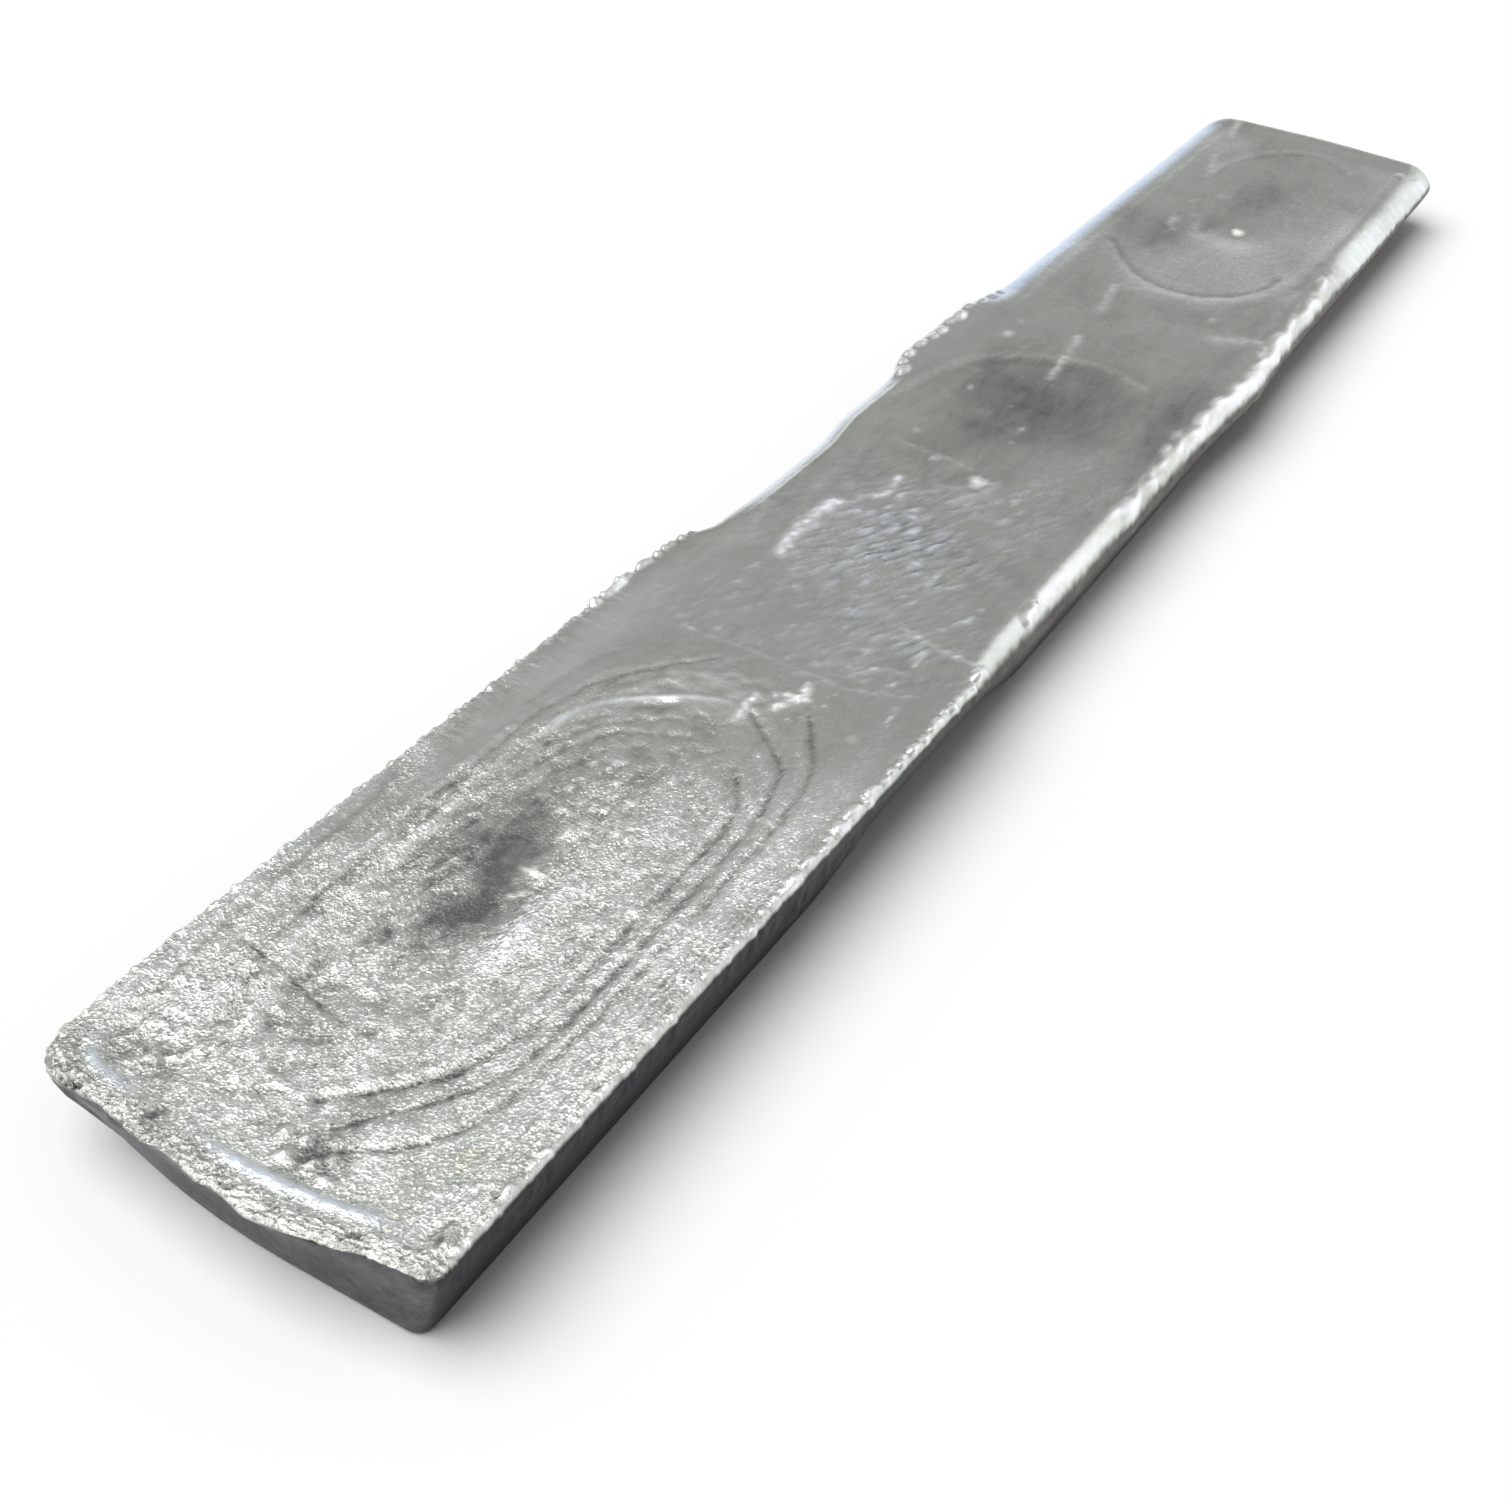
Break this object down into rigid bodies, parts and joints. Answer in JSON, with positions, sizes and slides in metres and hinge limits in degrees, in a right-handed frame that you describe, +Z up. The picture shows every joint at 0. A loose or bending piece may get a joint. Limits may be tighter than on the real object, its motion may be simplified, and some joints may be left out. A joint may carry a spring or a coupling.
{
  "type": "metal ingot",
  "caption": "Long flat cast ingot of soft white metal with drafted sides, a raised wavy rim, sunken oval freeze pools on top and arched necks underneath for breaking it up.",
  "frame": {"origin": "middle of the underside, at the centre of the bar's outline, on the plane that it rests on", "axes": "+X along the bar from its rough near end to its smooth far end, +Y to its left side, +Z up"},
  "size_m": [0.3872, 0.06, 0.014],
  "materials": {
    "cast_metal": "as-cast soft white metal: bright crystalline sparkle at the near end, dull satin grey at the far end, dark mould-side walls"
  },
  "bodies": {
    "root": {"ingot": "cast_metal"}
  },
  "joints": []
}
